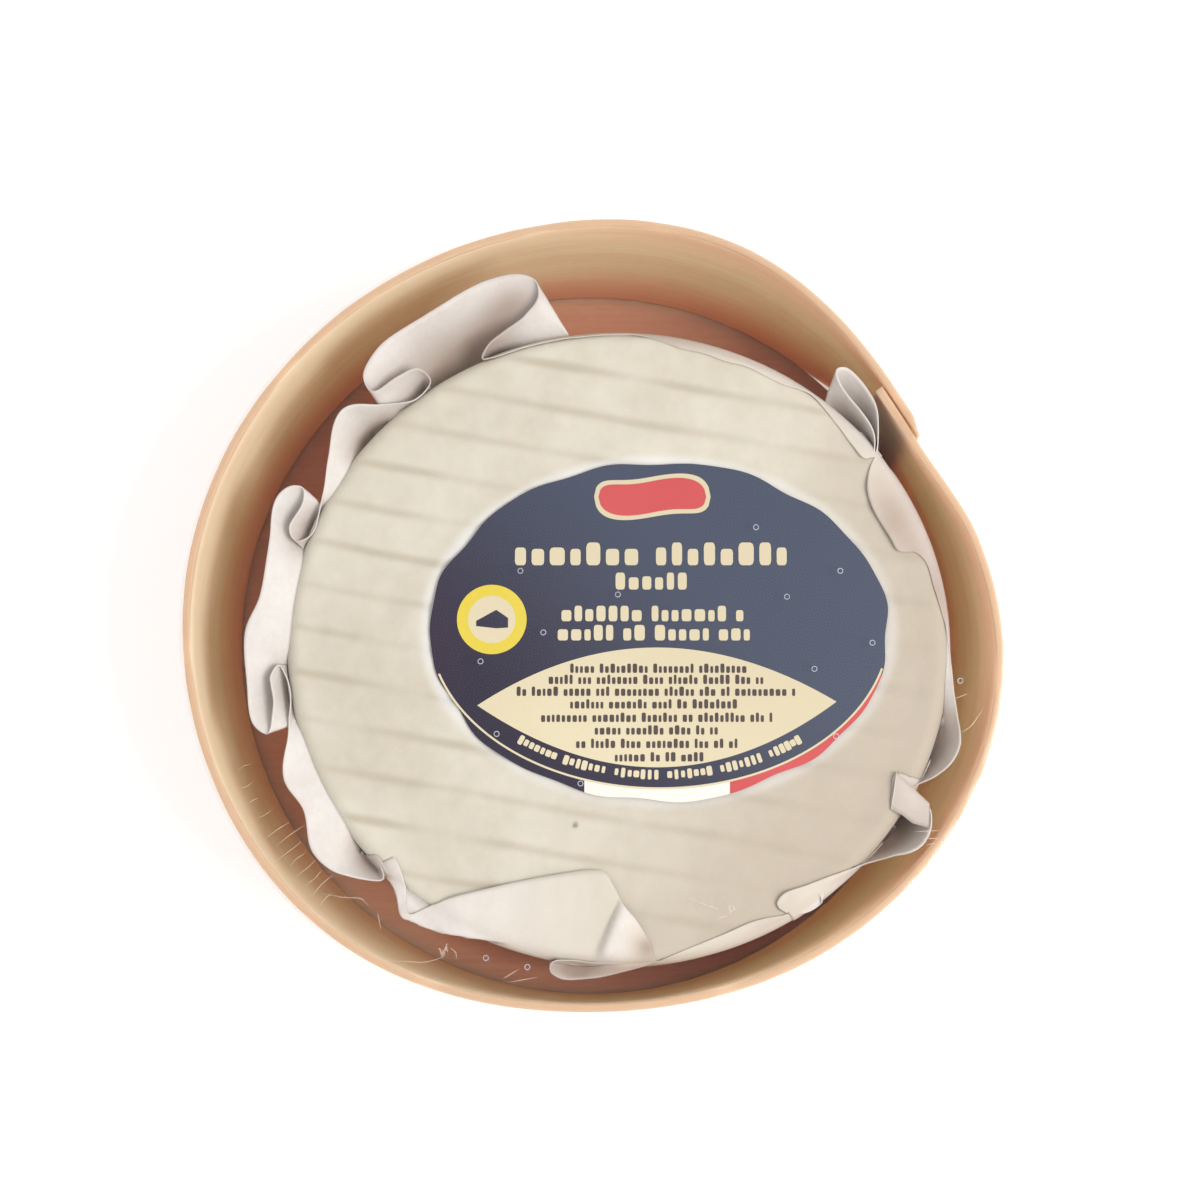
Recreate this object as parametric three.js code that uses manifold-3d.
// A small soft cheese wheel in its pack: a round box of bent wood veneer, a paper case round the
// cheese, an oval label on top and a clear film shrunk over the whole box. Millimetres, +Z up.
// The pack's own axis runs through the middle of the round base. The near side is -Y.

import * as THREE from 'three';
import { mergeVertices } from 'three/addons/utils/BufferGeometryUtils.js';
import Module from 'manifold-3d';

const wasm = await Module();
wasm.setup();

// Driving dimensions
const clearance = 0.3;
const rimHeight = 41.5;

const base = { radius: 52.4, thickness: 2.2 };

const veneer = 1.1;
const rim = {
  radius: 54.2,
  // The bent veneer springs into soft lobes: how many, how far they swell, and where one peaks
  lobes: [
    { count: 2, swell: 0.68, peak: 162 },
    { count: 3, swell: 1.24, peak: 90 },
    { count: 4, swell: 0.63, peak: 69 },
    { count: 5, swell: 0.27, peak: 70 },
    { count: 6, swell: 0.19, peak: 59 },
  ],
};
const seam = { innerEnd: 38.5, overlap: 9.5, ease: 18, taper: 3.5, thinEnd: 0.4 };

// The paper's edge is low against the cheese and high where it leans on the box
const paper = { thickness: 0.35, kneeHeight: 38.6, lowEdge: 39.5, highEdge: 40.9, leanReach: 4 };

const cheese = {
  centre: new THREE.Vector2(3.9, -3.5),
  radius: 44,
  height: 36,
  shoulder: 2.6,
  foot: 2.5,
};
const ridges = {
  direction: -10,
  spacing: 5.95,
  offset: 0.7,
  depth: 0.6,
  valley: 0.5,
  flank: 0.9,
  crown: 0.15,
};

const label = {
  centre: new THREE.Vector2(9.4, -1.6),
  halfLength: 30.9,
  halfWidth: 22.9,
  thickness: 0.25,
  waves: [
    { count: 7, swell: 0.15, peak: 20 },
    { count: 12, swell: 0.2, peak: 12 },
    { count: 19, swell: 0.12, peak: 8 },
  ],
};

const film = { thickness: 0.25, corner: 0.6, foot: 0.4, turnUnder: 24 };

// Heights that follow from them
const baseBottom = film.thickness + clearance;
const baseTop = baseBottom + base.thickness;
const paperBottom = baseTop + clearance;
const paperFloor = paperBottom + paper.thickness;
const cheeseBottom = paperFloor + clearance;
const cheeseTop = cheeseBottom + cheese.height;
const labelBottom = cheeseTop + clearance;
const filmUnderside = rimHeight + clearance;

const radians = THREE.MathUtils.degToRad;
const { lerp, clamp, smoothstep } = THREE.MathUtils;

function swelling(lobes, bearing) {
  const part = ({ count, swell, peak }) => swell * Math.cos(radians(count * (bearing - peak)));
  return lobes.reduce((sum, lobe) => sum + part(lobe), 0);
}

function fromTriangles(positions, triangles) {
  const geometry = new THREE.BufferGeometry();
  geometry.setAttribute('position', new THREE.Float32BufferAttribute(positions, 3));
  geometry.setIndex(triangles);
  return geometry;
}

// Joins two rings of the same number of points by a band of triangles
function bridge(triangles, lower, upper, closed = true) {
  const steps = closed ? lower.length : lower.length - 1;
  for (let i = 0; i < steps; i += 1) {
    const next = (i + 1) % lower.length;
    triangles.push(lower[i], lower[next], upper[next]);
    triangles.push(lower[i], upper[next], upper[i]);
  }
}

// The box
function makeBase() {
  const disc = new THREE.CylinderGeometry(base.radius, base.radius, base.thickness, 96);
  disc.rotateX(Math.PI / 2);
  disc.translate(0, 0, baseBottom + base.thickness / 2);
  return disc;
}

// 1 where the two ends of the band lie over each other, easing to 0 on both sides
function seamSwell(bearing) {
  const middle = seam.innerEnd - seam.overlap / 2;
  const away = Math.abs(((bearing - middle + 540) % 360) - 180) - seam.overlap / 2;
  return 1 - smoothstep(away, 1, seam.ease);
}

// Radius of the box's outside at a bearing and a height: round at the base, lobed at the rim
function boxOutline(bearing, height) {
  const doubled = (veneer + clearance) * seamSwell(bearing);
  const round = base.radius + clearance + veneer + doubled;
  const lobed = rim.radius + swelling(rim.lobes, bearing);
  const rise = clamp((height - baseTop) / (rimHeight - baseTop), 0, 1);
  return lerp(round, lobed, rise);
}

// The band starts as the inner layer of the seam, runs clockwise all round, and ends as the outer layer
function makeWall() {
  const turn = 360 + seam.overlap;
  const steps = 132;
  const positions = [];
  const corners = [[], [], [], [], [], []];
  for (let i = 0; i <= steps; i += 1) {
    const run = turn * i / steps;
    const bearing = seam.innerEnd - run;
    const inset = run < 180 ? (veneer + clearance) * seamSwell(bearing) : 0;
    const thinning = smoothstep(run, turn - seam.taper, turn) * (veneer - seam.thinEnd);
    [
      [baseBottom, 0], [baseTop, 0], [rimHeight, 0],
      [rimHeight, veneer], [baseTop, veneer], [baseBottom, veneer],
    ].forEach(([height, depth], corner) => {
      const skin = boxOutline(bearing, height) - inset;
      const radius = skin - (depth > 0 ? depth : thinning);
      corners[corner].push(positions.length / 3);
      positions.push(radius * Math.cos(radians(bearing)), radius * Math.sin(radians(bearing)), height);
    });
  }
  const triangles = [];
  corners.forEach((corner, i) => bridge(triangles, corners[(i + 1) % 6], corner, false));
  const start = corners.map((corner) => corner[0]);
  const end = corners.map((corner) => corner[steps]);
  [[0, 1, 4, 5], [1, 2, 3, 4]].forEach(([a, b, c, d]) => {
    triangles.push(start[a], start[c], start[b], start[a], start[d], start[c]);
    triangles.push(end[a], end[b], end[c], end[a], end[c], end[d]);
  });
  return fromTriangles(positions, triangles);
}

// The cheese
function toManifold(geometry) {
  const bare = geometry.clone();
  bare.deleteAttribute('normal');
  bare.deleteAttribute('uv');
  const merged = mergeVertices(bare, 1e-4);
  const corners = merged.index.array;
  const kept = [];
  for (let i = 0; i < corners.length; i += 3) {
    const [a, b, c] = corners.slice(i, i + 3);
    // A lathe's triangles shrink to a line where its profile meets the axis
    if (a !== b && b !== c && c !== a) kept.push(a, b, c);
  }
  return new wasm.Manifold(new wasm.Mesh({
    numProp: 3,
    vertProperties: new Float32Array(merged.attributes.position.array),
    triVerts: new Uint32Array(kept),
  }));
}

function fromManifold(solid) {
  const mesh = solid.getMesh();
  return fromTriangles(Array.from(mesh.vertProperties), Array.from(mesh.triVerts));
}

function arcPoints(centreX, centreY, radius, fromAngle, toAngle, steps) {
  return Array.from({ length: steps + 1 }, (_, i) => {
    const angle = radians(lerp(fromAngle, toAngle, i / steps));
    return new THREE.Vector2(centreX + radius * Math.cos(angle), centreY + radius * Math.sin(angle));
  });
}

function roundWheel() {
  const { radius, shoulder, foot } = cheese;
  const crest = cheeseTop + ridges.crown;
  const profile = [
    new THREE.Vector2(0, cheeseBottom),
    ...arcPoints(radius - foot, cheeseBottom + foot, foot, -90, 0, 3),
    ...arcPoints(radius - shoulder, crest - shoulder, shoulder, 0, 90, 6),
    new THREE.Vector2(0, crest),
  ];
  const wheel = new THREE.LatheGeometry(profile, 72);
  wheel.rotateX(Math.PI / 2);
  return wheel;
}

// A slab under the ridged top, long enough to cover the wheel, with its ridges along X
function ridgedSlab() {
  const count = Math.ceil(cheese.radius / ridges.spacing);
  const reach = (count + 1) * ridges.spacing;
  const outline = new THREE.Shape();
  outline.moveTo(-reach, cheeseBottom - 1);
  outline.lineTo(reach, cheeseBottom - 1);
  const top = [];
  for (let k = -count; k <= count; k += 1) {
    const middle = ridges.offset + k * ridges.spacing;
    const floor = ridges.valley / 2;
    const lip = floor + ridges.flank;
    top.push([middle - lip, 0], [middle - floor, -ridges.depth]);
    top.push([middle + floor, -ridges.depth], [middle + lip, 0]);
    top.push([middle + ridges.spacing / 2, ridges.crown]);
  }
  outline.lineTo(reach, cheeseTop);
  top.reverse().forEach(([across, rise]) => outline.lineTo(across, cheeseTop + rise));
  outline.lineTo(-reach, cheeseTop);
  const slab = new THREE.ExtrudeGeometry(outline, { depth: 2 * reach, bevelEnabled: false });
  slab.translate(0, 0, -reach);
  // The outline's X becomes Y across the ridges and its Y becomes height
  slab.applyMatrix4(new THREE.Matrix4().makeBasis(
    new THREE.Vector3(0, 1, 0),
    new THREE.Vector3(0, 0, 1),
    new THREE.Vector3(1, 0, 0),
  ));
  slab.rotateZ(radians(ridges.direction));
  return slab;
}

function makeCheese() {
  const wheel = toManifold(roundWheel()).intersect(toManifold(ridgedSlab()));
  const geometry = fromManifold(wheel);
  geometry.translate(cheese.centre.x, cheese.centre.y, 0);
  return geometry;
}

// Height of the round shoulder at a distance from the cheese's axis
function shoulderHeight(distance) {
  const crest = cheeseTop + ridges.crown;
  const past = distance - (cheese.radius - cheese.shoulder);
  if (past <= 0) return crest;
  return crest - cheese.shoulder + Math.sqrt(Math.max(cheese.shoulder ** 2 - past ** 2, 0));
}

// The upper edge of the paper, fold by fold, counter-clockwise from above: bearing in degrees and
// reach in millimetres, both from the cheese's axis. A pleat doubles back on its way out and in.
const paperEdge = {
  farSide: [[60, 43.3], [70, 43.5], [76, 43.2], [82, 44.8], [88, 43.1]],
  upperLeftPleat: [
    [97, 42.8], [106, 43.2], [113.5, 43.4], [114, 44.9], [106, 46.7], [103, 49], [105, 51.9], [110, 52.4],
    [120, 51.7], [129, 51.5], [133.5, 49.9], [133, 47.9], [129, 47.3], [125.6, 46.4], [125.2, 44.5],
    [129.5, 43.9], [134.5, 45.4], [139.5, 48.6],
  ],
  leftPleat: [
    [147, 46.4], [154, 44.2], [160, 43.9], [162, 45.2], [160, 46.5], [155.5, 46.6], [154, 48.5],
    [157, 49.8], [164, 48.8], [172, 48.4], [178, 49.8],
  ],
  lowerLeftPleat: [
    [186, 50.1], [192, 49.8], [193, 48.2], [188, 47.3], [184, 46.6], [184, 45.2], [188, 44.2],
    [195, 45.4], [202, 48], [208, 47.4], [216, 49.2], [223, 47.7],
  ],
  flapOverCheese: [[230, 45.6], [236, 40.3], [248, 33.5], [263, 30.9], [268.5, 33.5], [271, 38]],
  nearSideRoll: [
    [269, 42.6], [262, 43.2], [260, 44.5], [263.5, 45.5], [272, 44.8], [286, 42.4], [298, 41.9], [305, 43.3],
  ],
  rightPocket: [
    [311, 42.6], [317, 43.6], [323, 46.8], [328, 48.2], [332, 46.6], [334, 43.4], [339, 43.2], [343, 45.2],
    [347, 46.6],
  ],
  rightSide: [[354, 45.6], [5, 44.7], [16, 43.9], [24, 43], [32, 43.2], [38, 45.2]],
  seamPleat: [
    [43.5, 47.6], [48.5, 48.6], [51, 47.8], [48, 46.4], [43, 45.6], [40.5, 44.3], [44, 43.1], [51, 43.8],
  ],
};

// Bearings that keep turning one way, so that the pleats fall back to a plain circle at the foot
function footBearings(bearings) {
  const unwrapped = [];
  bearings.forEach((bearing, i) => {
    let value = bearing;
    while (i > 0 && value < unwrapped[i - 1] - 180) value += 360;
    while (i > 0 && value > unwrapped[i - 1] + 180) value -= 360;
    unwrapped.push(value);
  });
  const count = unwrapped.length;
  const start = unwrapped[0];
  const steady = unwrapped.map((_, i) => {
    const highest = Math.max(...unwrapped.slice(0, i + 1));
    const lowest = Math.min(...unwrapped.slice(i));
    return lerp((highest + lowest) / 2, start + 360 * i / count, 0.25);
  });
  const reachOfMean = 5;
  return steady.map((_, i) => {
    let sum = 0;
    for (let k = -reachOfMean; k <= reachOfMean; k += 1) {
      const at = i + k;
      const turns = Math.floor(at / count);
      sum += steady[at - turns * count] + turns * 360;
    }
    return sum / (2 * reachOfMean + 1);
  });
}

function paperRows() {
  const count = 192;
  const curve = new THREE.CatmullRomCurve3(
    Object.values(paperEdge).flat().map(([bearing, reach]) => new THREE.Vector3(
      reach * Math.cos(radians(bearing)),
      reach * Math.sin(radians(bearing)),
      0,
    )),
    true,
    'centripetal',
  );
  const edge = Array.from({ length: count }, (_, i) => curve.getPointAt(i / count));
  const feet = footBearings(edge.map((point) => THREE.MathUtils.radToDeg(Math.atan2(point.y, point.x))));
  // Where a pleat doubles back its outer face looks at the cheese, so the sheet stays one thickness further
  const margin = clearance + paper.thickness;
  const nearest = cheese.radius + margin;
  const heights = [0, 0.35, 0.7, 1];
  const beyond = [0.12, 0.3, 0.6, 1];
  const rows = Array.from({ length: heights.length + beyond.length }, () => []);
  edge.forEach((top, i) => {
    const foot = new THREE.Vector3(
      nearest * Math.cos(radians(feet[i])),
      nearest * Math.sin(radians(feet[i])),
      paperFloor,
    );
    const lean = smoothstep(top.length(), cheese.radius, cheese.radius + paper.leanReach);
    const tip = new THREE.Vector3(top.x, top.y, lerp(paper.lowEdge, paper.highEdge, lean));
    const kneeShare = (paper.kneeHeight - paperFloor) / (tip.z - paperFloor);
    const knee = foot.clone().lerp(tip, kneeShare);
    const outward = Math.max(Math.hypot(knee.x, knee.y), nearest) / Math.hypot(knee.x, knee.y);
    knee.set(knee.x * outward, knee.y * outward, paper.kneeHeight);
    heights.forEach((share, row) => {
      const point = foot.clone().lerp(knee, share);
      const short = Math.max(Math.hypot(point.x, point.y), nearest) / Math.hypot(point.x, point.y);
      rows[row].push(new THREE.Vector3(point.x * short, point.y * short, point.z));
    });
    beyond.forEach((share, row) => {
      const point = knee.clone().lerp(tip, share);
      const over = shoulderHeight(Math.hypot(point.x, point.y)) + margin;
      const inside = Math.hypot(point.x, point.y) < cheese.radius;
      point.z = inside ? Math.max(over, point.z) : point.z;
      rows[heights.length + row].push(point);
    });
  });
  return rows;
}

// The sheet's outer face, one thickness away from its inner face
function outerFace(rows) {
  const count = rows[0].length;
  return rows.map((row, r) => row.map((point, i) => {
    if (r === 0) {
      const distance = Math.hypot(point.x, point.y);
      const wider = (distance + paper.thickness) / distance;
      return new THREE.Vector3(point.x * wider, point.y * wider, paperBottom);
    }
    const along = new THREE.Vector3().subVectors(row[(i + 1) % count], row[(i + count - 1) % count]);
    const above = rows[Math.min(r + 1, rows.length - 1)][i];
    const up = new THREE.Vector3().subVectors(above, rows[r - 1][i]);
    return along.cross(up).normalize().multiplyScalar(paper.thickness).add(point);
  }));
}

function makePaper() {
  const inner = paperRows();
  const outer = outerFace(inner);
  const positions = [];
  const number = (point) => {
    positions.push(point.x, point.y, point.z);
    return positions.length / 3 - 1;
  };
  const innerRings = inner.map((row) => row.map(number));
  const outerRings = outer.map((row) => row.map(number));
  const floorMiddle = number(new THREE.Vector3(0, 0, paperFloor));
  const underMiddle = number(new THREE.Vector3(0, 0, paperBottom));
  const triangles = [];
  const rings = [...outerRings, ...innerRings.reverse()];
  for (let r = 0; r < rings.length - 1; r += 1) {
    bridge(triangles, rings[r], rings[r + 1]);
  }
  const outerFoot = rings[0];
  const innerFoot = rings[rings.length - 1];
  outerFoot.forEach((_, i) => {
    const next = (i + 1) % outerFoot.length;
    triangles.push(underMiddle, outerFoot[next], outerFoot[i]);
    triangles.push(floorMiddle, innerFoot[i], innerFoot[next]);
  });
  const geometry = fromTriangles(positions, triangles);
  geometry.translate(cheese.centre.x, cheese.centre.y, 0);
  return geometry;
}

// The label: an oval whose edge waves a little
function makeLabel() {
  const count = 72;
  const outline = Array.from({ length: count }, (_, i) => {
    const bearing = 360 * i / count;
    const wave = swelling(label.waves, bearing);
    return new THREE.Vector2(
      (label.halfLength + wave) * Math.cos(radians(bearing)),
      (label.halfWidth + wave) * Math.sin(radians(bearing)),
    );
  });
  const settings = { depth: label.thickness, bevelEnabled: false };
  const plate = new THREE.ExtrudeGeometry(new THREE.Shape(outline), settings);
  plate.translate(label.centre.x, label.centre.y, labelBottom);
  return plate;
}

// The film: flat over the rim, down the sides and turned under the base, where its edge stays open
function makeFilm() {
  const steps = 108;
  const { thickness, corner, foot } = film;
  const openRadius = base.radius - film.turnUnder;
  const profile = [
    { height: filmUnderside + thickness, share: 0.5 },
    { height: filmUnderside + thickness, offset: thickness - corner },
    { height: filmUnderside + thickness - corner, offset: thickness },
    { height: baseTop, offset: thickness },
    { height: baseBottom, offset: thickness },
    { height: 0, offset: thickness - foot },
    { height: 0, radius: openRadius },
    { height: thickness, radius: openRadius },
    { height: thickness, offset: 0 },
    { height: baseTop, offset: 0 },
    { height: filmUnderside - corner / 2, offset: 0 },
    { height: filmUnderside, offset: -corner / 2 },
    { height: filmUnderside, share: 0.5 },
  ];
  const positions = [];
  const rings = profile.map(() => []);
  for (let i = 0; i < steps; i += 1) {
    const bearing = 360 * i / steps;
    profile.forEach(({ height, share = 1, offset = 0, radius }, p) => {
      const skin = boxOutline(bearing, height) + clearance;
      const distance = radius ?? skin * share + offset;
      rings[p].push(positions.length / 3);
      positions.push(distance * Math.cos(radians(bearing)), distance * Math.sin(radians(bearing)), height);
    });
  }
  const topMiddle = positions.length / 3;
  positions.push(0, 0, filmUnderside + thickness);
  positions.push(0, 0, filmUnderside);
  const triangles = [];
  for (let r = 0; r < rings.length - 1; r += 1) bridge(triangles, rings[r + 1], rings[r]);
  const top = rings[0];
  const under = rings[rings.length - 1];
  top.forEach((_, i) => {
    const next = (i + 1) % steps;
    triangles.push(topMiddle, top[i], top[next]);
    triangles.push(topMiddle + 1, under[next], under[i]);
  });
  return fromTriangles(positions, triangles);
}

const finishes = {
  wood: { color: 0xd6ac7e, roughness: 0.7, metalness: 0 },
  paper: { color: 0xe6dfd6, roughness: 0.55, metalness: 0 },
  rind: { color: 0xece4d2, roughness: 0.85, metalness: 0 },
  print: { color: 0x4a4f5f, roughness: 0.45, metalness: 0 },
  clear: { color: 0xf3f5f6, roughness: 0.12, metalness: 0, transparent: true, opacity: 0.25 },
};

const pack = new THREE.Group();

function add(name, geometry, finish) {
  geometry.computeVertexNormals();
  const mesh = new THREE.Mesh(geometry, new THREE.MeshStandardMaterial(finishes[finish]));
  mesh.name = name;
  pack.add(mesh);
}

add('box_base', makeBase(), 'wood');
add('box_wall', makeWall(), 'wood');
add('paper_case', makePaper(), 'paper');
add('cheese_wheel', makeCheese(), 'rind');
add('top_label', makeLabel(), 'print');
add('clear_film', makeFilm(), 'clear');

// The origin is the middle of the pack's footprint, on the surface it stands on
const middle = new THREE.Box3().setFromObject(pack).getCenter(new THREE.Vector3());
pack.position.set(-middle.x, -middle.y, 0);

export default pack;
